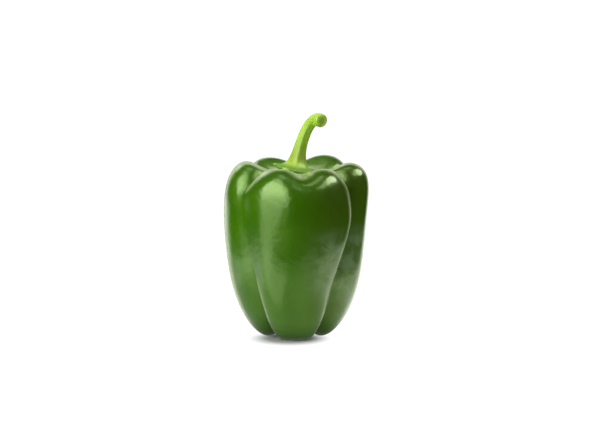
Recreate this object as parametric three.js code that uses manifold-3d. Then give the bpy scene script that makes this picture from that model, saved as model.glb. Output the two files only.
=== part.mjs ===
// A green bell pepper that stands on the rounded ends of its four lobes. It is two pieces: the pod, which is
// solid here, and the stem, whose flared foot is the calyx that sits in the pod's hollow top.
// Millimetres, +Z up. The origin is on the surface the pepper stands on, below the middle of its box.
// The front lobe faces -Y. Azimuths are counted from there towards +X.
import * as THREE from "three";
import { ParametricGeometry } from "three/addons/geometries/ParametricGeometry.js";
import { mergeVertices } from "three/addons/utils/BufferGeometryUtils.js";
import Module from "manifold-3d";

const wasm = await Module();
wasm.setup();
const { smoothstep, lerp, degToRad } = THREE.MathUtils;

// Two meridians of the pod as control points, [distance from the axis, height], from the blossom end to the
// hollow under the calyx: one along the crest of a lobe, and one along the groove between two lobes.
const LOBE_LINE = [
  [0, 8.5], [5, 8.2], [9.5, 3.6], [14, -0.9], [21.4, -0.5], [28.6, 6.4], [34.6, 17.5], [39.4, 33.5],
  [42, 51.5], [43.3, 69.5], [44.1, 85.5], [41.9, 98], [35.6, 104.6], [28.3, 105.6], [21.8, 99.9],
  [14.5, 99.2], [6.5, 100], [0, 100],
];
const GROOVE_LINE = [
  [0, 8.5], [5, 8.2], [8.5, 7], [12, 5.6], [17.5, 6.4], [24, 12], [29.5, 22], [33.5, 37], [35.6, 54],
  [36.6, 71], [36.2, 85], [33.5, 93], [28.5, 97.6], [22.5, 99.1], [17, 99.1], [12, 99.3], [6.5, 100],
  [0, 100],
];

// Each lobe, from the front one round to the left. azimuth is where the groove before it runs, in degrees, at
// the foot and at the shoulder, and moves is where along the meridian it goes from one to the other. Lists of
// three are values at the foot, the belly and the shoulder: power sets how square the lobe is, reach how far
// it bulges, and dip how deep the valley along its middle is. fill is how far the groove before it is filled
// at the belly. lift is how much higher its shoulder is, in mm, in its first and second half. columns is its
// share of the mesh.
const LOBES = [
  {
    azimuth: [-42, -54.5], moves: [0.42, 0.65], fill: 0.42, columns: 30, power: [5.6, 4.4, 3.1],
    reach: [1, 1, 1], dip: [0, 0.12, 0.74], dipAt: 0.06, dipWidth: 0.24, lift: [0, 0],
  },
  {
    azimuth: [41, 65.5], moves: [0.38, 0.56], fill: 0, columns: 19, power: [2.4, 2.6, 2.6],
    reach: [0.5, 0.9, 1.26], dip: [0, 0, 0], dipAt: 0, dipWidth: 0.2, lift: [-0.4, -0.4],
  },
  {
    azimuth: [128, 109], moves: [0.25, 0.75], fill: 0, columns: 31, power: [3, 4.2, 5.6],
    reach: [1, 1, 1], dip: [0, 0.12, 0.64], dipAt: 0.06, dipWidth: 0.3, lift: [1.5, 0.1],
  },
  {
    azimuth: [228, 242], moves: [0.25, 0.75], fill: 0, columns: 20, power: [2.4, 3, 3.4],
    reach: [0.68, 0.96, 0.76], dip: [0, 0, 0], dipAt: 0, dipWidth: 0.2, lift: [0.3, 0.3],
  },
];
const POD_COLUMNS = LOBES.reduce((sum, lobe) => sum + lobe.columns, 0);
const POD_RINGS = 44;

// Places along a meridian, from 0 at the blossom end to 1 under the calyx.
const FOOT_TO_BELLY = [0.18, 0.42];
const BELLY_TO_SHOULDER = [0.5, 0.68];
const DIP_RISES = [0.6, 0.74];
const LIFT_RISES = [0.6, 0.75];
const LIFT_FADES = [0.8, 0.95];
const FILL_RISES = [0.34, 0.46];
const FILL_FADES = [0.6, 0.68];
const GROOVE_SOFTNESS = 0.06; // rounds the bottom of each groove
const GROOVE_CROWDING = 0.65; // how much closer the mesh columns are beside a groove

// The stem's centre line, from inside the calyx to the cut end, as control points.
const STEM_LINE = [
  [0.15, 0, 99], [1.25, 0, 105], [2.45, 0, 111], [3.95, 0, 117], [6.05, -0.3, 122.7], [8.75, -1.4, 128.1],
  [12.55, -4.6, 131.7], [15.85, -9.8, 130.5],
];
const STEM_LENGTH = 41;
// The stem's outline along that line, [distance along it, radius]: the calyx's underside, its rim, its slope,
// the stalk, the swollen end and the cut face.
const STEM_OUTLINE = [
  [-1.5, 0], [-1.5, 5], [-1, 9.2], [0.5, 11.4], [1.8, 12.6], [2.4, 11.2], [3, 8.6], [4.5, 6.5], [7.4, 5.1],
  [11.5, 4.1], [16, 3.7], [21, 3.5], [26, 3.4], [31, 3.35], [35, 3.5], [38.2, 4], [40.4, 4.2], [41.2, 3.5],
  [40.9, 2.2], [40.7, 0],
];
const STEM_SIDES = 30;
const STEM_RINGS = 38;
const TEETH = { count: 5, length: 2.2, first: -12, at: 1.6, spread: 1.3, inner: [6, 11.5] };
const RIBS = { count: 5, share: 0.05, first: 12, rise: [2, 9], fade: [37, 40.5] };
const GAP = 0.3; // between the calyx and the pod

// A point on a uniform cubic B-spline, t from 0 to 1. before and after stand for the points past its ends.
function spline(points, t, before, after) {
  const last = points.length - 1;
  const at = THREE.MathUtils.clamp(t, 0, 1) * last;
  const i = Math.min(Math.floor(at), last - 1);
  const f = at - i;
  const a = i === 0 ? before : points[i - 1];
  const d = i + 2 > last ? after : points[i + 2];
  const weights = [(1 - f) ** 3, 3 * f ** 3 - 6 * f ** 2 + 4, -3 * f ** 3 + 3 * f ** 2 + 3 * f + 1, f ** 3];
  const four = [a, points[i], points[i + 1], d];
  return points[i].map((_, axis) => four.reduce((sum, p, n) => sum + (p[axis] * weights[n]) / 6, 0));
}

// The value of a list of three, given at the foot, the belly and the shoulder, at place v on a meridian.
// upper is where on the meridian it goes from its value at the belly to that at the shoulder.
function along([foot, belly, shoulder], v, upper = BELLY_TO_SHOULDER) {
  const low = lerp(foot, belly, smoothstep(v, ...FOOT_TO_BELLY));
  return low + (shoulder - belly) * smoothstep(v, ...upper);
}

// The lobe that holds column u of the pod, and how far across that lobe u is, from 0 to 1.
function lobeAt(u) {
  let column = (u % 1) * POD_COLUMNS;
  let index = 0;
  while (index < LOBES.length - 1 && column >= LOBES[index].columns) {
    column -= LOBES[index].columns;
    index += 1;
  }
  return { index, across: column / LOBES[index].columns };
}

// How far a lobe stands out between its grooves, from 0 in a groove to 1 at its crest. c runs from -1 to 1.
function bulge(lobe, c, v) {
  const plain = 1 - Math.abs(c) ** along(lobe.power, v);
  const soft = Math.hypot(plain, GROOVE_SOFTNESS) - GROOVE_SOFTNESS;
  const full = Math.hypot(1, GROOVE_SOFTNESS) - GROOVE_SOFTNESS;
  const valley = Math.exp(-(((c - lobe.dipAt) / lobe.dipWidth) ** 2));
  return soft / full - along(lobe.dip, v, DIP_RISES) * valley;
}

// The pod's surface: u goes round it, v runs from the blossom end over the shoulder to under the calyx.
function podPoint(u, v, target) {
  const { index, across } = lobeAt(u);
  const lobe = LOBES[index];
  const next = LOBES[(index + 1) % LOBES.length];
  const share = lerp(across, (1 - Math.cos(Math.PI * across)) / 2, GROOVE_CROWDING);
  const c = 2 * share - 1;
  const grooveOf = ({ azimuth, moves }) => lerp(...azimuth, smoothstep(v, ...moves));
  const start = grooveOf(lobe);
  const end = grooveOf(next) + (index === LOBES.length - 1 ? 360 : 0);
  const azimuth = degToRad(lerp(start, end, share));
  const stand = bulge(lobe, c, v);
  const mirrored = ([x, z]) => [-x, z];
  const meridian = (line) => spline(line, v, mirrored(line[1]), mirrored(line.at(-2)));
  const [crest, groove] = [meridian(LOBE_LINE), meridian(GROOVE_LINE)];
  const atBelly = smoothstep(v, ...FILL_RISES) * (1 - smoothstep(v, ...FILL_FADES));
  const filled = lerp(lobe.fill, next.fill, share) * (1 - stand) * atBelly;
  const radius = lerp(groove[0], crest[0], lerp(stand * along(lobe.reach, v), 1, filled));
  const lift = lerp(...lobe.lift, smoothstep(c, -0.6, 0.6)) * stand;
  const lifted = smoothstep(v, ...LIFT_RISES) * (1 - smoothstep(v, ...LIFT_FADES));
  const height = lerp(groove[1], crest[1], stand) + lift * lifted;
  return target.set(radius * Math.sin(azimuth), -radius * Math.cos(azimuth), Math.max(height, 0));
}

// Where the stem's centre line is at a distance along it, and the direction it takes there.
function stemAxis(distance) {
  const past = (a, b) => a.map((x, n) => 2 * x - b[n]);
  const before = past(STEM_LINE[0], STEM_LINE[1]);
  const after = past(STEM_LINE.at(-1), STEM_LINE.at(-2));
  const at = (t) => new THREE.Vector3(...spline(STEM_LINE, t, before, after));
  const step = 1e-3;
  const t = distance / STEM_LENGTH;
  const inside = THREE.MathUtils.clamp(t, step, 1 - step);
  const direction = at(inside + step).sub(at(inside - step)).normalize();
  const held = THREE.MathUtils.clamp(t, 0, 1);
  return { centre: at(held).addScaledVector(direction, (t - held) * STEM_LENGTH), direction };
}

// The stem's surface: u goes round it, v runs from the calyx's underside to the middle of the cut face.
function stemPoint(u, v, target) {
  const mirrored = ([s, r]) => [s, -r];
  const outline = STEM_OUTLINE;
  const [distance, radius] = spline(outline, v, mirrored(outline[1]), mirrored(outline.at(-2)));
  const { centre, direction } = stemAxis(distance);
  const side = new THREE.Vector3(0, -1, 0).cross(direction).normalize();
  const forward = direction.clone().cross(side);
  const angle = 2 * Math.PI * u;
  const turned = (feature) => feature.count * (angle - degToRad(feature.first));
  const rim = Math.exp(-(((distance - TEETH.at) / TEETH.spread) ** 2)) * smoothstep(radius, ...TEETH.inner);
  const tooth = Math.max(Math.cos(turned(TEETH)), 0) ** 3;
  const stalk = smoothstep(distance, ...RIBS.rise) * (1 - smoothstep(distance, ...RIBS.fade));
  const rib = 1 + RIBS.share * (1 - 2 * Math.abs(Math.sin(turned(RIBS) / 2))) * stalk;
  const reach = radius * rib + TEETH.length * rim * tooth;
  return target
    .copy(centre)
    .addScaledVector(side, reach * Math.cos(angle))
    .addScaledVector(forward, reach * Math.sin(angle));
}

// A closed surface with one vertex at each place, grown outwards by an amount.
function closedSurface(pointAt, columns, rings, grow = 0) {
  const grid = new ParametricGeometry(pointAt, columns, rings);
  grid.deleteAttribute("normal");
  grid.deleteAttribute("uv");
  const merged = mergeVertices(grid);
  merged.computeVertexNormals();
  const { position, normal } = merged.attributes;
  const p = new THREE.Vector3();
  const n = new THREE.Vector3();
  for (let i = 0; i < position.count; i += 1) {
    p.fromBufferAttribute(position, i).addScaledVector(n.fromBufferAttribute(normal, i), grow);
    position.setXYZ(i, p.x, p.y, p.z);
  }
  merged.deleteAttribute("normal");
  return merged;
}

// A closed geometry as a solid that can be cut, with the triangles that its poles fold to nothing left out.
function toSolid(geometry) {
  const { array } = geometry.index;
  const kept = [];
  for (let i = 0; i < array.length; i += 3) {
    const [a, b, c] = array.slice(i, i + 3);
    if (a !== b && b !== c && c !== a) kept.push(a, b, c);
  }
  const vertProperties = new Float32Array(geometry.attributes.position.array);
  return new wasm.Manifold(new wasm.Mesh({ numProp: 3, vertProperties, triVerts: new Uint32Array(kept) }));
}

function toGeometry(solid) {
  const mesh = solid.getMesh();
  const geometry = new THREE.BufferGeometry();
  geometry.setAttribute("position", new THREE.BufferAttribute(mesh.vertProperties, 3));
  geometry.setIndex(new THREE.BufferAttribute(mesh.triVerts, 1));
  geometry.computeVertexNormals();
  return geometry;
}

function makePod() {
  const pod = new THREE.Mesh(
    toGeometry(toSolid(closedSurface(podPoint, POD_COLUMNS, POD_RINGS))),
    new THREE.MeshStandardMaterial({ color: 0x356a0c, roughness: 0.22, metalness: 0 }),
  );
  pod.name = "pod";
  return pod;
}

// The calyx's underside is cut to the hollow it sits in.
function makeStem() {
  const hollow = toSolid(closedSurface(podPoint, POD_COLUMNS, POD_RINGS, GAP));
  const whole = toSolid(closedSurface(stemPoint, STEM_SIDES, STEM_RINGS));
  const stem = new THREE.Mesh(
    toGeometry(whole.subtract(hollow)),
    new THREE.MeshStandardMaterial({ color: 0x8fb83a, roughness: 0.5, metalness: 0 }),
  );
  stem.name = "stem";
  return stem;
}

const pepper = new THREE.Group();
pepper.add(makePod(), makeStem());
const middle = new THREE.Box3().setFromObject(pepper).getCenter(new THREE.Vector3());
pepper.position.set(-middle.x, -middle.y, 0);

export default pepper;
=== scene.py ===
"""Looks of a green bell pepper: a finer pod and stem in place of the faceted ones, their materials, and a
white table with soft studio light. Metres, +Z up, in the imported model's frame. The front lobe faces -Y."""
import math

import bpy
import numpy as np
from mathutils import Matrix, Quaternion, Vector, noise


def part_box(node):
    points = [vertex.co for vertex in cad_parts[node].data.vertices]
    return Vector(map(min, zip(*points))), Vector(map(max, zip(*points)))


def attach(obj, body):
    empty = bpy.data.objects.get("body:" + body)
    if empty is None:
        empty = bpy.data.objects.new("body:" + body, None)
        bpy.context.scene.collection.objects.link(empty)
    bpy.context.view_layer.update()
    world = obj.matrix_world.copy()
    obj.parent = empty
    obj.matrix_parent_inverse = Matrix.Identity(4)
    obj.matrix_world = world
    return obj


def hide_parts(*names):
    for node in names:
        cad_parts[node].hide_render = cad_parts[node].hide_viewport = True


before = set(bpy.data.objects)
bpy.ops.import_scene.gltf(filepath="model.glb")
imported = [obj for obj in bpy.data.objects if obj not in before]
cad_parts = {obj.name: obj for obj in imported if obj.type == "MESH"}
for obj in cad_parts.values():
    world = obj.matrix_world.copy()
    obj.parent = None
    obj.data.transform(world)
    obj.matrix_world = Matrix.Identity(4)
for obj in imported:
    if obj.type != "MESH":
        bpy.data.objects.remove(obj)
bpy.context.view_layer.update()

MM = 0.001

# Two meridians of the pod as control points, (distance from the axis, height) in millimetres, from the
# blossom end to the hollow under the calyx: along the crest of a lobe, and along the groove between two.
LOBE_LINE = [
    (0, 8.5), (5, 8.2), (9.5, 3.6), (14, -0.9), (21.4, -0.5), (28.6, 6.4), (34.6, 17.5), (39.4, 33.5),
    (42, 51.5), (43.3, 69.5), (44.1, 85.5), (41.9, 98), (35.6, 104.6), (28.3, 105.6), (21.8, 99.9),
    (14.5, 99.2), (6.5, 100), (0, 100),
]
GROOVE_LINE = [
    (0, 8.5), (5, 8.2), (8.5, 7), (12, 5.6), (17.5, 6.4), (24, 12), (29.5, 22), (33.5, 37), (35.6, 54),
    (36.6, 71), (36.2, 85), (33.5, 93), (28.5, 97.6), (22.5, 99.1), (17, 99.1), (12, 99.3), (6.5, 100),
    (0, 100),
]

# Each lobe, from the front one round by the right. azimuth is where the groove before it runs, in degrees, at
# the foot and at the shoulder, moves is where along the meridian it goes from one to the other, and fill is
# how far it is filled up at the belly. The values in threes are at the foot, the belly and the shoulder. dip
# is how deep the valley in the crest is, dip_at and dip_width say where across the lobe, and lift is how much
# higher the two ends of the crest are, in millimetres.
LOBES = [
    dict(azimuth=(-42, -54.5), moves=(0.42, 0.65), fill=0.42, columns=30, power=(5.6, 4.4, 3.1),
         reach=(1, 1, 1), dip=(0, 0.12, 0.74), dip_at=0.06, dip_width=0.24, lift=(0, 0)),
    dict(azimuth=(41, 65.5), moves=(0.38, 0.56), fill=0, columns=19, power=(2.4, 2.6, 2.6),
         reach=(0.5, 0.9, 1.26), dip=(0, 0, 0), dip_at=0, dip_width=0.2, lift=(-0.4, -0.4)),
    dict(azimuth=(128, 109), moves=(0.25, 0.75), fill=0, columns=31, power=(3, 4.2, 5.6),
         reach=(1, 1, 1), dip=(0, 0.12, 0.64), dip_at=0.06, dip_width=0.3, lift=(1.5, 0.1)),
    dict(azimuth=(228, 242), moves=(0.25, 0.75), fill=0, columns=20, power=(2.4, 3, 3.4),
         reach=(0.68, 0.96, 0.76), dip=(0, 0, 0), dip_at=0, dip_width=0.2, lift=(0.3, 0.3)),
]
FINER = 4  # times as many columns as the solid has
POD_RINGS = 236
GROOVE_SOFTNESS = 0.06
GROOVE_CROWDING = 0.65  # how much closer together the columns are beside the grooves
LIFT_TURNS = (-0.6, 0.6)  # across a lobe, from where to where its lift changes

# Places along a meridian, from 0 at the blossom end to 1 under the calyx.
FOOT_TO_BELLY = (0.18, 0.42)
BELLY_TO_SHOULDER = (0.5, 0.68)
FILL_RISES = (0.34, 0.46)
FILL_FADES = (0.6, 0.68)
DIP_RISES = (0.6, 0.74)
LIFT_RISES = (0.6, 0.75)
LIFT_FADES = (0.8, 0.95)
UNEVEN_RISES = (0.02, 0.2)
UNEVEN_FADES = (0.9, 1)
CROWN_RISES = (0.7, 0.8)
SCAR_FADES = (0.08, 0.2)

# Waves on the pod as (height, length, seed), in millimetres, and how far it is drawn in to stay in the solid.
UNEVEN = [(0.16, 26, 3), (0.05, 9, 7)]
DRAWN_IN = 0.16

# The parts of the skin that differ, in millimetres from the axis.
CROWN_RADII = (12, 36)
SCAR_RADII = (1.2, 4.5)
OLIVE_STARTS = (8, 34)
OLIVE_SIDE = math.radians(75)  # the side of the pepper that is olive, as an azimuth

# The stem's centre line, and its outline along it, (distance, radius), in millimetres.
STEM_LINE = [
    (0.15, 0, 99), (1.25, 0, 105), (2.45, 0, 111), (3.95, 0, 117), (6.05, -0.3, 122.7), (8.75, -1.4, 128.1),
    (12.55, -4.6, 131.7), (15.85, -9.8, 130.5),
]
STEM_LENGTH = 41
STEM_OUTLINE = [
    (-1.5, 0), (-1.5, 5), (-1, 9.2), (0.5, 11.4), (1.8, 12.6), (2.4, 11.2), (3, 8.6), (4.5, 6.5), (7.4, 5.1),
    (11.5, 4.1), (16, 3.7), (21, 3.5), (26, 3.4), (31, 3.35), (35, 3.5), (38.2, 4), (40.4, 4.2), (41.2, 3.5),
    (40.9, 2.2), (40.7, 0),
]
STEM_SIDES = 180
STEM_RINGS = 240
TEETH = dict(count=5, length=2.2, first=-12, at=1.6, spread=1.3, inner=(6, 11.5))
RIBS = dict(count=5, share=0.05, first=12, rise=(2, 9), fade=(37, 40.5))

# The parts of the stem that differ, as a share of the outline or in millimetres.
CUT_STARTS = (0.94, 0.965)
CUT_RADIUS = 4.2
CALYX_RADII = (6, 10)
CALYX_FADES = (4, 8)
TIP_RADII = (11.5, 14)


def smoothstep(x, low, high):
    t = np.clip((np.asarray(x, float) - low) / (high - low), 0, 1)
    return t * t * (3 - 2 * t)


def mix(a, b, t):
    return a + (b - a) * t


def spline(points, t, before, after):
    """Points on a uniform cubic B-spline, t from 0 to 1. before and after are the points past its ends."""
    all_points = np.array([before, *points, after], float)
    last = len(points) - 1
    at = np.clip(np.asarray(t, float), 0, 1) * last
    i = np.minimum(at.astype(int), last - 1)
    f = (at - i)[..., None]
    a, b, c, d = (all_points[i + n] for n in range(4))
    b_share = 3 * f**3 - 6 * f**2 + 4
    c_share = -3 * f**3 + 3 * f**2 + 3 * f + 1
    return (a * (1 - f) ** 3 + b * b_share + c * c_share + d * f**3) / 6


def along(three, v, upper=BELLY_TO_SHOULDER):
    """A value given at the foot, the belly and the shoulder, at place v on a meridian."""
    foot, belly, shoulder = three
    return mix(foot, belly, smoothstep(v, *FOOT_TO_BELLY)) + (shoulder - belly) * smoothstep(v, *upper)


def bulge(lobe, c, v):
    """How far a lobe stands out between its grooves, from 0 in a groove to 1 at its crest. c is -1 to 1."""
    plain = 1 - np.abs(c) ** along(lobe["power"], v)
    soft = np.hypot(plain, GROOVE_SOFTNESS) - GROOVE_SOFTNESS
    full = np.hypot(1, GROOVE_SOFTNESS) - GROOVE_SOFTNESS
    valley = np.exp(-(((c - lobe["dip_at"]) / lobe["dip_width"]) ** 2))
    return soft / full - along(lobe["dip"], v, DIP_RISES) * valley


def lobe_points(number, across, v):
    """Points of one lobe, in millimetres. across is 0 to 1 from its first groove to the next."""
    lobe = LOBES[number]
    following = LOBES[(number + 1) % len(LOBES)]
    share = mix(across, (1 - np.cos(np.pi * across)) / 2, GROOVE_CROWDING)
    c = 2 * share - 1
    start = mix(*lobe["azimuth"], smoothstep(v, *lobe["moves"]))
    end = mix(*following["azimuth"], smoothstep(v, *following["moves"]))
    end = end + (360 if number == len(LOBES) - 1 else 0)
    azimuth = np.radians(mix(start, end, share))
    stand = bulge(lobe, c, v)
    crest, groove = (
        spline(line, v, (-line[1][0], line[1][1]), (-line[-2][0], line[-2][1]))
        for line in (LOBE_LINE, GROOVE_LINE)
    )
    at_belly = smoothstep(v, *FILL_RISES) * (1 - smoothstep(v, *FILL_FADES))
    filled = mix(lobe["fill"], following["fill"], share) * (1 - stand) * at_belly
    radius = mix(groove[..., 0], crest[..., 0], mix(stand * along(lobe["reach"], v), 1, filled))
    lift = mix(*lobe["lift"], smoothstep(c, *LIFT_TURNS)) * stand
    lifted = smoothstep(v, *LIFT_RISES) * (1 - smoothstep(v, *LIFT_FADES))
    height = mix(groove[..., 1], crest[..., 1], stand) + lift * lifted
    return np.stack([radius * np.sin(azimuth), -radius * np.cos(azimuth), height], -1)


def wobble(points, scale, seed):
    """Smooth noise from -1 to 1 at each point, with waves about scale millimetres long."""
    shift = Vector((seed, 2 * seed, 3 * seed))
    flat = points.reshape(-1, 3) / scale
    return np.array([noise.noise(Vector(p) + shift) for p in flat]).reshape(points.shape[:-1])


def outward(points):
    """The direction that each point of a grid faces, from its neighbours along the rings and the columns."""
    across = np.roll(points, -1, axis=1) - np.roll(points, 1, axis=1)
    up = np.gradient(points, axis=0)
    normal = np.cross(across, up)
    return normal / np.maximum(np.linalg.norm(normal, axis=-1, keepdims=True), 1e-9)


def pod_points(v):
    """All points of the pod, rings by columns, in millimetres, uneven and flat where it stands."""
    parts = []
    for number, lobe in enumerate(LOBES):
        columns = lobe["columns"] * FINER
        across = np.arange(columns)[None] / columns + 0 * v
        parts.append(lobe_points(number, across, v + 0 * across))
    points = np.concatenate(parts, axis=1)
    uneven = sum(height * wobble(points, length, seed) for height, length, seed in UNEVEN)
    fade = smoothstep(v, *UNEVEN_RISES) * (1 - smoothstep(v, *UNEVEN_FADES))
    points = points + outward(points) * ((uneven - DRAWN_IN) * fade)[..., None]
    points[..., 2] = np.maximum(points[..., 2], 0)
    return points


def closed_mesh(name, points, values):
    """A closed mesh from a grid of points, rings by columns. Its first and last rings are one point each."""
    rings, columns = points.shape[:2]
    middle = points[1:-1].reshape(-1, 3)
    vertices = np.concatenate([points[:1, 0], middle, points[-1:, 0]])
    index = 1 + np.arange((rings - 2) * columns).reshape(rings - 2, columns)
    right = np.roll(index, -1, axis=1)
    faces = [(0, b, a) for a, b in zip(index[0].tolist(), right[0].tolist())]
    quads = np.stack([index[:-1], right[:-1], right[1:], index[1:]], -1).reshape(-1, 4)
    faces += quads.tolist()
    top = len(vertices) - 1
    faces += [(a, b, top) for a, b in zip(index[-1].tolist(), right[-1].tolist())]
    mesh = bpy.data.meshes.new(name)
    mesh.from_pydata(vertices.tolist(), [], faces)
    mesh.polygons.foreach_set("use_smooth", [True] * len(mesh.polygons))
    for key, grid in values.items():
        flat = np.concatenate([grid[:1, 0], grid[1:-1].reshape(-1, *grid.shape[2:]), grid[-1:, 0]])
        kind = "FLOAT_VECTOR" if grid.ndim == 3 else "FLOAT"
        field = "vector" if grid.ndim == 3 else "value"
        mesh.attributes.new(key, kind, "POINT").data.foreach_set(field, flat.astype(np.float32).ravel())
    mesh.update()
    piece = bpy.data.objects.new(name, mesh)
    bpy.context.scene.collection.objects.link(piece)
    return piece


def make_pod(material):
    """Add the pod, and return how far it was moved to sit on the middle of the solid's box."""
    v = np.linspace(0, 1, POD_RINGS + 1)[:, None]
    points = pod_points(v)
    box_low, box_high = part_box("pod")
    raw_low, raw_high = points.reshape(-1, 3).min(0), points.reshape(-1, 3).max(0)
    axis = np.array((box_low + box_high) / 2)[:2] / MM - (raw_low + raw_high)[:2] / 2
    shift = np.array([axis[0], axis[1], 0])
    radius = np.hypot(points[..., 0], points[..., 1])
    towards_olive = points @ (math.sin(OLIVE_SIDE), -math.cos(OLIVE_SIDE), 0)
    values = {
        "crown": (1 - smoothstep(radius, *CROWN_RADII)) * smoothstep(v, *CROWN_RISES),
        "olive": smoothstep(towards_olive, *OLIVE_STARTS),
        "scar": (1 - smoothstep(radius, *SCAR_RADII)) * (1 - smoothstep(v, *SCAR_FADES)),
    }
    pod = closed_mesh("pod_skin", (points + shift) * MM, values)
    pod.data.materials.append(material)
    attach(pod, "root")
    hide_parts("pod")
    return shift


def stem_frames(distance):
    """Where the stem's centre line is at each distance along it, and the two directions across it there."""
    line = np.array(STEM_LINE, float)
    before = 2 * line[0] - line[1]
    after = 2 * line[-1] - line[-2]
    step = 1e-3
    t = distance / STEM_LENGTH
    inside = np.clip(t, step, 1 - step)
    direction = spline(line, inside + step, before, after) - spline(line, inside - step, before, after)
    direction /= np.linalg.norm(direction, axis=-1, keepdims=True)
    held = np.clip(t, 0, 1)
    centre = spline(line, held, before, after) + direction * ((t - held) * STEM_LENGTH)[..., None]
    side = np.cross([0, -1, 0], direction)
    side /= np.linalg.norm(side, axis=-1, keepdims=True)
    return centre, side, np.cross(direction, side)


def make_stem(material, shift):
    """Add the stem with its calyx, moved as the pod was."""
    v = np.linspace(0, 1, STEM_RINGS + 1)[:, None]
    outline = STEM_OUTLINE
    first = (outline[1][0], -outline[1][1])
    final = (outline[-2][0], -outline[-2][1])
    profile = spline(outline, v[:, 0], first, final)
    distance, radius = profile[:, :1], profile[:, 1:]
    angle = 2 * np.pi * np.arange(STEM_SIDES)[None] / STEM_SIDES
    centre, side, forward = stem_frames(distance[:, 0])

    def turned(feature):
        return feature["count"] * (angle - math.radians(feature["first"]))

    rim = np.exp(-(((distance - TEETH["at"]) / TEETH["spread"]) ** 2)) * smoothstep(radius, *TEETH["inner"])
    tooth = np.maximum(np.cos(turned(TEETH)), 0) ** 3
    stalk = smoothstep(distance, *RIBS["rise"]) * (1 - smoothstep(distance, *RIBS["fade"]))
    rib = 1 + RIBS["share"] * (1 - 2 * np.abs(np.sin(turned(RIBS) / 2))) * stalk
    reach = radius * rib + TEETH["length"] * rim * tooth
    round_the_stem = side[:, None] * np.cos(angle)[..., None] + forward[:, None] * np.sin(angle)[..., None]
    points = centre[:, None] + round_the_stem * reach[..., None]
    straight = np.stack([reach * np.cos(angle), reach * np.sin(angle), distance + 0 * angle], -1)
    values = {
        "straight": straight * MM,
        "height": (distance + 0 * angle) / STEM_LENGTH,
        "cut": smoothstep(v, *CUT_STARTS) + 0 * angle,
        "inward": 1 - np.clip(reach / CUT_RADIUS, 0, 1),
        "leafy": smoothstep(reach, *CALYX_RADII) * (1 - smoothstep(distance, *CALYX_FADES)),
        "tips": smoothstep(reach, *TIP_RADII),
    }
    stem = closed_mesh("stem_and_calyx", (points + shift) * MM, values)
    stem.data.materials.append(material)
    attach(stem, "root")
    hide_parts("stem")


MIX_INPUTS = (0, 6, 7)  # the factor and the two colours of a colour mix node
MIX_OUTPUT = 2


class Nodes:
    """A material's or the world's node tree, with short ways to add a node and join its inputs."""

    def __init__(self, owner):
        owner.use_nodes = True
        self.tree = owner.node_tree
        self.tree.nodes.clear()

    def join(self, value, socket):
        """Put a value or another node's output into an input."""
        if isinstance(value, bpy.types.NodeSocket):
            self.tree.links.new(value, socket)
        else:
            socket.default_value = value

    def add(self, kind, settings=None, **inputs):
        """A new node. Its inputs are given by name, or as n and a number."""
        node = self.tree.nodes.new(kind)
        for key, value in (settings or {}).items():
            setattr(node, key, value)
        for key, value in inputs.items():
            numbered = key[0] == "n" and key[1:].isdigit()
            self.join(value, node.inputs[int(key[1:]) if numbered else key.replace("_", " ")])
        return node

    def attribute(self, name):
        return self.add("ShaderNodeAttribute", {"attribute_name": name})

    def ramp(self, value, stops):
        """A value mapped through (place, colour) stops."""
        node = self.add("ShaderNodeValToRGB", Fac=value)
        elements = node.color_ramp.elements
        while len(elements) < len(stops):
            elements.new(0.5)
        for element, (place, colour) in zip(elements, stops):
            element.position = place
            element.color = (*colour, 1)
        return node.outputs["Color"]

    def blend(self, factor, first, second, how="MIX"):
        """Two colours mixed, each three numbers or another node's output."""
        node = self.add("ShaderNodeMix", {"data_type": "RGBA", "blend_type": how})
        for key, value in zip(MIX_INPUTS, (factor, first, second)):
            self.join((*value, 1) if isinstance(value, tuple) else value, node.inputs[key])
        return node.outputs[MIX_OUTPUT]

    def maths(self, how, a, b):
        return self.add("ShaderNodeMath", {"operation": how}, n0=a, n1=b).outputs[0]

    def times(self, a, b):
        return self.maths("MULTIPLY", a, b)

    def plus(self, a, b):
        return self.maths("ADD", a, b)

    def remap(self, value, low, high, to_low, to_high):
        """A value that goes smoothly from to_low, where the given one is low, to to_high where it is high."""
        node = self.add("ShaderNodeMapRange", {"interpolation_type": "SMOOTHSTEP"}, Value=value)
        for key, number in (("From Min", low), ("From Max", high), ("To Min", to_low), ("To Max", to_high)):
            node.inputs[key].default_value = number
        return node.outputs[0]

    def noise(self, vector, scale, detail, roughness, distortion=0.0):
        return self.add("ShaderNodeTexNoise", Vector=vector, Scale=scale, Detail=detail, Roughness=roughness,
                        Distortion=distortion).outputs["Fac"]

    def bump(self, height, strength, depth, **under):
        """Bumps with a height. under may give the Normal that they come on top of."""
        node = self.add("ShaderNodeBump", Strength=strength, Distance=depth, Height=height, **under)
        return node.outputs["Normal"]

    def vector_maths(self, how, output, **vectors):
        return self.add("ShaderNodeVectorMath", {"operation": how}, **vectors).outputs[output]

    def position(self):
        return self.add("ShaderNodeNewGeometry").outputs["Position"]


# The skin's colours. Its edges are painted pale as a rim reflection. A pale haze, a painted reflection of the
# table, lies low on its olive side.
SKIN = (0.034, 0.108, 0.0004)
SKIN_DEEP = (0.025, 0.088, 0.0003)
SKIN_OLIVE = (0.036, 0.078, 0.002)
SKIN_PALE = (0.09, 0.20, 0.004)
SKIN_PAINTED_HAZE = (0.105, 0.165, 0.075)
SKIN_PAINTED_RIM = (0.28, 0.38, 0.15)
SCAR = (0.11, 0.065, 0.02)
GLOSS_TINT = (0.75, 1.0, 0.45, 1)
FLECKS_SHARE = 0.10
CROWN_SHARE = 0.6
PAINTED_RIM_SHARE = 0.95
PAINTED_RIM_FACING = (0.53, 0.9)  # from where to where the painted rim reflection sets in as the skin turns away, as the share of a full turn
PAINTED_CREST_SOONER = 0.14  # how much sooner the painted rim reflection sets in on the crests
CROWN_DULLS = 0.7  # how dull the crown is beside the scar
DULL_ROUGHNESS = 0.4
SKIN_IOR = 1.52

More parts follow.
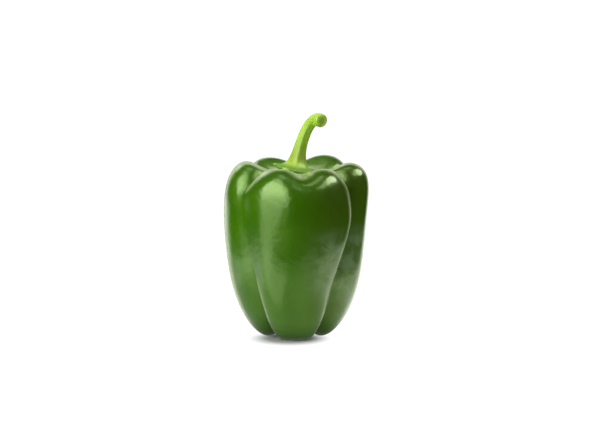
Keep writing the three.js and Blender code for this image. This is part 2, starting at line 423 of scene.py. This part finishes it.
# Metres above the table, and behind the axis, over which these set in or fade.
PAINTED_HAZE_RISES = (0.018, 0.040)
PAINTED_HAZE_FADES = (0.058, 0.072)
PAINTED_RIM_RISES = (0.003, 0.02)
CREST_RISES = (0.090, 0.103)
CREST_FADES = (0.004, 0.018)

# Noises as (scale, detail, roughness, distortion). At a scale of 100 the waves are about 10 mm long.
BROAD = (22, 3, 0.55, 0.4)
OLIVE_PATCHES = (26, 2, 0.5, 0.8)
CLOUDY = (120, 4, 0.6, 0.5)
GLOSS_PATCHES = (60, 4, 0.6)
SCAR_GRAIN = (900, 3, 0.6)
SOFT = (130, 2, 0.5)
RIPPLES = (330, 2, 0.5)
FINE = (1500, 2, 0.5)
FLECKS_SCALE = 700.0
STREAKS = (1100, 3, 0.6)
STEM_BROAD = (320, 2, 0.5)
CUT_GRAIN = (2500, 3, 0.7)
PORES = (3000, 2, 0.6)

# The stem's colours, along it and on its cut face.
LIME = (0.32, 0.54, 0.03)
LIME_DEEP = (0.12, 0.22, 0.01)
LIME_YELLOW = (0.27, 0.38, 0.012)
CALYX_GREEN = (0.10, 0.21, 0.01)
CUT_PITH = (0.20, 0.33, 0.02)
CUT_RIM = (0.30, 0.34, 0.19)
ALONG_STEM = [(0.0, LIME_DEEP), (0.07, LIME), (0.2, LIME_YELLOW), (0.45, LIME), (1.0, LIME)]
INTO_CUT = [(0.0, CUT_RIM), (0.22, CUT_RIM), (0.34, CUT_PITH), (1.0, CUT_PITH)]
STRETCH = (1, 1, 0.1)  # draws the streaks out along the stem
MATTE_ROUGHNESS = 0.35
STEM_IOR = 1.36


def skin_greens(n, place, height, olive, crown):
    """The skin's broad greens, its haze painted as a reflection of the table, its pale flecks and its paler
    crown.
    """
    colour = n.blend(n.remap(n.noise(place, *BROAD), 0.35, 0.65, 0, 1), SKIN_DEEP, SKIN)
    patches = n.remap(n.noise(place, *OLIVE_PATCHES), 0.3, 0.6, 0.55, 1)
    colour = n.blend(n.times(olive, patches), colour, SKIN_OLIVE)
    # A pale cloudy haze low on the olive side is a painted reflection of the table.
    in_band = n.times(n.remap(height, *PAINTED_HAZE_RISES, 0, 1), n.remap(height, *PAINTED_HAZE_FADES, 1, 0))
    cloudy = n.remap(n.noise(place, *CLOUDY), 0.35, 0.65, 0.2, 0.85)
    colour = n.blend(n.times(n.times(in_band, olive), cloudy), colour, SKIN_PAINTED_HAZE)
    flecks = n.add("ShaderNodeTexVoronoi", {"feature": "F1"}, Vector=place, Scale=FLECKS_SCALE)
    near_fleck = n.remap(flecks.outputs["Distance"], 0.05, 0.28, FLECKS_SHARE, 0)
    colour = n.blend(near_fleck, colour, SKIN_PALE)
    return n.blend(n.remap(crown, 0, 1, 0, CROWN_SHARE), colour, SKIN_PALE)


def skin_painted_rims(n, colour, depth, height):
    """The skin's colour with a painted rim reflection: paler where it turns away, sooner on the crests of all
    but the back lobe.
    """
    # Pale rims where the skin turns away and along the crests are a painted reflection of the bright room.
    facing = n.add("ShaderNodeLayerWeight", Blend=0.5).outputs["Facing"]
    sooner = n.times(n.remap(height, *CREST_RISES, 0, PAINTED_CREST_SOONER), n.remap(depth, *CREST_FADES, 1, 0))
    turned = n.remap(n.plus(facing, sooner), *PAINTED_RIM_FACING, 0, PAINTED_RIM_SHARE)
    return n.blend(n.times(turned, n.remap(height, *PAINTED_RIM_RISES, 0, 1)), colour, SKIN_PAINTED_RIM)


def skin_material():
    material = bpy.data.materials.new("skin")
    n = Nodes(material)
    place = n.add("ShaderNodeTexCoord").outputs["Object"]
    parts = n.add("ShaderNodeSeparateXYZ", Vector=place)
    depth, height = parts.outputs["Y"], parts.outputs["Z"]
    olive, crown, scar = (n.attribute(name).outputs["Fac"] for name in ("olive", "crown", "scar"))
    colour = skin_painted_rims(n, skin_greens(n, place, height, olive, crown), depth, height)
    rough_scar = n.times(scar, n.remap(n.noise(place, *SCAR_GRAIN), 0.3, 0.6, 0.6, 1))
    colour = n.blend(rough_scar, colour, SCAR)
    waxy = n.remap(n.noise(place, *GLOSS_PATCHES), 0.3, 0.7, 0.19, 0.26)
    dull = n.maths("MAXIMUM", scar, n.times(crown, CROWN_DULLS))
    roughness = n.plus(waxy, n.times(dull, DULL_ROUGHNESS))
    normal = n.bump(n.noise(place, *RIPPLES), 0.1, 0.001)
    normal = n.bump(n.noise(place, *SOFT), 0.22, 0.001, Normal=normal)
    normal = n.bump(n.noise(place, *FINE), 0.012, 0.0003, Normal=normal)
    shader = n.add("ShaderNodeBsdfPrincipled", Base_Color=colour, Roughness=roughness, Normal=normal,
                   IOR=SKIN_IOR, Specular_Tint=GLOSS_TINT)
    n.add("ShaderNodeOutputMaterial", Surface=shader.outputs[0])
    return material


def cut_face(n, straight):
    """The colour of the stem's cut end, with its pale rim and its grain."""
    face = n.ramp(n.attribute("inward").outputs["Fac"], INTO_CUT)
    grain = n.remap(n.noise(straight, *CUT_GRAIN), 0.3, 0.7, 0.75, 1.15)
    grey = n.add("ShaderNodeCombineColor", Red=grain, Green=grain, Blue=grain).outputs[0]
    return n.blend(1.0, face, grey, "MULTIPLY")


def stem_material():
    material = bpy.data.materials.new("stem")
    n = Nodes(material)
    straight = n.attribute("straight").outputs["Vector"]
    stretched = n.add("ShaderNodeMapping", Vector=straight, Scale=STRETCH).outputs[0]
    streak = n.noise(stretched, *STREAKS)
    broad = n.noise(stretched, *STEM_BROAD)
    height, leafy, tips, cut = (
        n.attribute(name).outputs["Fac"] for name in ("height", "leafy", "tips", "cut")
    )
    colour = n.blend(n.remap(broad, 0.35, 0.7, 0, 0.45), n.ramp(height, ALONG_STEM), LIME_DEEP)
    colour = n.blend(n.remap(streak, 0.5, 0.75, 0, 0.35), colour, LIME_YELLOW)
    colour = n.blend(leafy, colour, CALYX_GREEN)
    colour = n.blend(tips, colour, LIME)
    colour = n.blend(cut, colour, cut_face(n, straight))
    matte = n.times(n.maths("MAXIMUM", cut, leafy), MATTE_ROUGHNESS)
    roughness = n.plus(n.remap(streak, 0.3, 0.7, 0.34, 0.48), matte)
    normal = n.bump(streak, 0.25, 0.0003)
    normal = n.bump(n.noise(straight, *PORES), 0.05, 0.0002, Normal=normal)
    shader = n.add("ShaderNodeBsdfPrincipled", Base_Color=colour, Roughness=roughness, Normal=normal,
                   IOR=STEM_IOR)
    n.add("ShaderNodeOutputMaterial", Surface=shader.outputs[0])
    return material


def toward(azimuth, elevation):
    """A direction from the pepper. Azimuth 0 is towards the front, 90 towards +X."""
    a, e = math.radians(azimuth), math.radians(elevation)
    return Vector((math.sin(a) * math.cos(e), -math.cos(a) * math.cos(e), math.sin(e)))


def flat_object(name, corners):
    mesh = bpy.data.meshes.new(name)
    mesh.from_pydata([tuple(c) for c in corners], [], [tuple(range(len(corners)))])
    card = bpy.data.objects.new(name, mesh)
    bpy.context.scene.collection.objects.link(card)
    return card


TABLE_REACH = 12
# Beside the foot the table is half as light, a painted shade that deepens its shadow.
TABLE_SHADED_GREY = (0.5, 0.5, 0.5, 1)
TABLE_GLOW = 1.05
SHADE_MIDDLE = Vector((-0.004, -0.014, 0))
SHADE_EDGE = (0.011, 0.027)  # how far from there the table turns from shaded to evenly white

# What the skin mirrors of the table. In each four, the first two say from where to where, in metres, and the
# last two how bright it is there, or by how much that is multiplied. A patch gives its middle and its edge.
PATCH_LEVEL = 1.1
PATCH_X = (-0.02, 0.175, 0.21)
PATCH_Y = (-0.01, 0.11, 0.16)
RIGHT_SIDE = (0.02, 0.08, 0, 0.9)
LEFT_SIDE = (-0.14, -0.08, 1.3, 0)
SIDES_FADE = (0, 0.06, 1, 0)
CORNER_X = (-0.032, -0.012, 1.6, 0)
CORNER_Y = (-0.065, -0.04, 1, 0)
# Near the pod the mirrored table is dimmed, a painted shadow of the pod.
UNDER_POD = (0.02, 0.04, 0.25, 1)

# Lit sectors of the table, as two azimuths in degrees, and how bright they are near the pepper and far out.
FRONT_LEFT = (-72, -18, 2.4, 3.8)
BACK_LEFT = (-160, -117, 0.9, 1.5)
BACK_RIGHT = (140, 178, 1.2, 1.4)
SECTOR_SOFT = 8
SECTOR_GROWS = (0.2, 0.6)
FRONT_LEFT_ENDS = (-0.19, -0.12, 1, 0)
BACK_LEFT_FADES = (0.7, 1.6, 1, 0.2)


def table_sheet(name, height):
    signs = ((-1, -1), (1, -1), (1, 1), (-1, 1))
    return flat_object(name, [Vector((x * TABLE_REACH, y * TABLE_REACH, height)) for x, y in signs])


def make_table():
    """A white table, washed out by its light except beside the pepper's foot, where its grey is a painted
    shade that deepens the contact shadow.
    """
    material = bpy.data.materials.new("table")
    n = Nodes(material)
    far = n.vector_maths("DISTANCE", "Value", n0=n.position(), n1=SHADE_MIDDLE)
    white = n.add("ShaderNodeBsdfDiffuse", Color=TABLE_SHADED_GREY)
    glow = n.add("ShaderNodeEmission", Strength=TABLE_GLOW)
    lit = n.remap(far, *SHADE_EDGE, 0, 1)
    mixed = n.add("ShaderNodeMixShader", Fac=lit, n1=white.outputs[0], n2=glow.outputs[0])
    n.add("ShaderNodeOutputMaterial", Surface=mixed.outputs[0])
    table = table_sheet("table", 0)
    table.visible_glossy = False
    table.visible_diffuse = False
    table.data.materials.append(material)


def make_table_gloss():
    """What the skin mirrors of the table: a lit patch round the pepper, brighter at its sides and its front
    left, and lit sectors farther out. The rest lies in the room's shade."""
    material = bpy.data.materials.new("table_gloss")
    n = Nodes(material)
    position = n.position()
    parts = n.add("ShaderNodeSeparateXYZ", Vector=position)
    x, y = parts.outputs["X"], parts.outputs["Y"]
    far = n.vector_maths("LENGTH", "Value", n0=position)
    azimuth = n.maths("ARCTAN2", x, n.times(y, -1.0))

    def within(value, centre, low, high):
        """1 within low of the centre, and 0 beyond high."""
        return n.remap(n.maths("ABSOLUTE", n.maths("SUBTRACT", value, centre), 0.0), low, high, 1, 0)

    def sector(first, last, near, out):
        a, b, s = (math.radians(value) for value in (first, last, SECTOR_SOFT))
        inside = n.times(n.remap(azimuth, a - s, a + s, 0, 1), n.remap(azimuth, b - s, b + s, 1, 0))
        return n.times(inside, n.remap(far, *SECTOR_GROWS, near, out))

    sides = n.times(n.plus(n.remap(x, *RIGHT_SIDE), n.remap(x, *LEFT_SIDE)), n.remap(y, *SIDES_FADE))
    corner = n.times(n.remap(x, *CORNER_X), n.remap(y, *CORNER_Y))
    level = n.plus(n.plus(sides, corner), PATCH_LEVEL)
    strength = n.times(level, n.times(within(x, *PATCH_X), within(y, *PATCH_Y)))
    front_left = n.times(sector(*FRONT_LEFT), n.remap(x, *FRONT_LEFT_ENDS))
    back_left = n.times(sector(*BACK_LEFT), n.remap(far, *BACK_LEFT_FADES))
    for lit in (front_left, back_left, sector(*BACK_RIGHT)):
        strength = n.maths("MAXIMUM", strength, lit)
    glow = n.add("ShaderNodeEmission", Strength=n.times(strength, n.remap(far, *UNDER_POD)))
    n.add("ShaderNodeOutputMaterial", Surface=glow.outputs[0])
    sheet = table_sheet("table_gloss", -0.001)
    sheet.visible_camera = False
    sheet.visible_shadow = False
    sheet.data.materials.append(material)


# The glowing cards round the pepper. Directions are (azimuth, elevation) in degrees and distances in metres.
# low and high say how bright a card is below and above.
MIDDLE = Vector((0, 0, 0.06))
BRIGHTENS = (math.sin(math.radians(-8)), math.sin(math.radians(26)))
CARDS = [
    dict(name="window", facing=(-48, 15), distance=1.2, low=4.0, high=11.5, lights=False,
         outline=[(-60, 44), (-20, 43), (-9, 40), (-6, 24), (-5, 8), (-6, -1), (-77, -1), (-79, 8), (-82, 18),
                  (-79, 30), (-70, 42)]),
    dict(name="window_top", facing=(-48, 52), distance=1.21, low=6, high=6, lights=False,
         outline=[(-70, 42), (-60, 44), (-20, 43), (-9, 40), (-12, 62), (-60, 66)]),
    dict(name="window_light", facing=(-55, 15), distance=1.2, low=2.4, high=3.8, mirrored=False,
         outline=[(-25, 50), (-25, 0), (-85, 0), (-85, 50)]),
    dict(name="right_fill", facing=(68, 20), distance=1.2, low=1.2, high=1.2, mirrored=False,
         outline=[(25, -3), (25, 45), (112, 45), (112, -3)]),
    dict(name="overhead", facing=(150, 70), distance=1.2, low=2.2, high=2.2, mirrored=False,
         outline=[(0, 60), (90, 50), (160, 35), (-160, 35), (-90, 50)]),
    dict(name="overhead_gloss", facing=(0, 80), distance=1.25, low=3, high=3, lights=False,
         outline=[(-90, 72), (0, 68), (90, 72), (180, 84)]),
    dict(name="right_light", facing=(92, 46), distance=1.2, low=13.5, high=13.5, lights=False,
         outline=[(54, 42), (66, 38), (80, 35), (96, 31), (114, 29), (122, 36), (112, 52), (90, 60),
                  (60, 59)]),
    dict(name="right_edge", facing=(45, 46), distance=1.21, low=6, high=6, lights=False,
         outline=[(28, 43), (42, 36), (60, 36), (66, 58), (44, 56), (31, 50)]),
    dict(name="left_strip", facing=(-139, 32), distance=1.2, low=3, high=3, lights=False,
         outline=[(-155, 24), (-128, 24), (-128, 42), (-155, 42)]),
    dict(name="backdrop", facing=(180, 10), distance=1.4, low=0.8, high=0.8,
         outline=[(142, -3), (142, 26), (-142, 26), (-142, -3)]),
]


def glow_card(name, facing, distance, outline, low, high, mirrored=True, lights=True):
    """A glowing card that faces the pepper. mirrored says whether it shows in the gloss, and lights whether
    it lights the rest."""
    centre = toward(*facing)
    corners = [MIDDLE + d * (distance / d.dot(centre)) for d in (toward(*corner) for corner in outline)]
    card = flat_object(name, corners)
    card.visible_camera = False
    card.visible_glossy = mirrored
    card.visible_diffuse = lights
    material = bpy.data.materials.new(name)
    n = Nodes(material)
    from_middle = n.vector_maths("SUBTRACT", 0, n0=n.position(), n1=MIDDLE)
    direction = n.vector_maths("NORMALIZE", 0, n0=from_middle)
    rise = n.add("ShaderNodeSeparateXYZ", Vector=direction).outputs["Z"]
    glow = n.add("ShaderNodeEmission", Strength=n.remap(rise, *BRIGHTENS, low, high))
    n.add("ShaderNodeOutputMaterial", Surface=glow.outputs[0])
    card.data.materials.append(material)


ROOM_DIM = 0.01


def make_world():
    """White where the camera looks past the table, and a dark room for everything else."""
    world = bpy.data.worlds.new("room")
    bpy.context.scene.world = world
    n = Nodes(world)
    seen = n.add("ShaderNodeLightPath").outputs["Is Camera Ray"]
    strength = n.maths("MAXIMUM", seen, ROOM_DIM)
    glow = n.add("ShaderNodeBackground", Color=(1, 1, 1, 1), Strength=strength)
    n.add("ShaderNodeOutputWorld", Surface=glow.outputs[0])


CAMERA_ELEVATION = 8.5
CAMERA_DISTANCE = 1.987
CAMERA_TARGET = Vector((0.00097, 0, 0.06758))
CAMERA_SENSOR = 36
CAMERA_LENS = 200


def make_camera():
    camera = bpy.data.objects.new("camera", bpy.data.cameras.new("camera"))
    bpy.context.scene.collection.objects.link(camera)
    camera.data.sensor_width = CAMERA_SENSOR
    camera.data.lens = CAMERA_LENS
    back = toward(0, CAMERA_ELEVATION)
    camera.location = CAMERA_TARGET + back * CAMERA_DISTANCE
    camera.rotation_mode = "QUATERNION"
    camera.rotation_quaternion = Quaternion((-back).to_track_quat("-Z", "Y"))
    bpy.context.scene.camera = camera


bpy.context.scene.view_settings.view_transform = "Standard"
make_camera()
pod_shift = make_pod(skin_material())
make_stem(stem_material(), pod_shift)
make_table()
make_table_gloss()
make_world()
for settings in CARDS:
    glow_card(**settings)
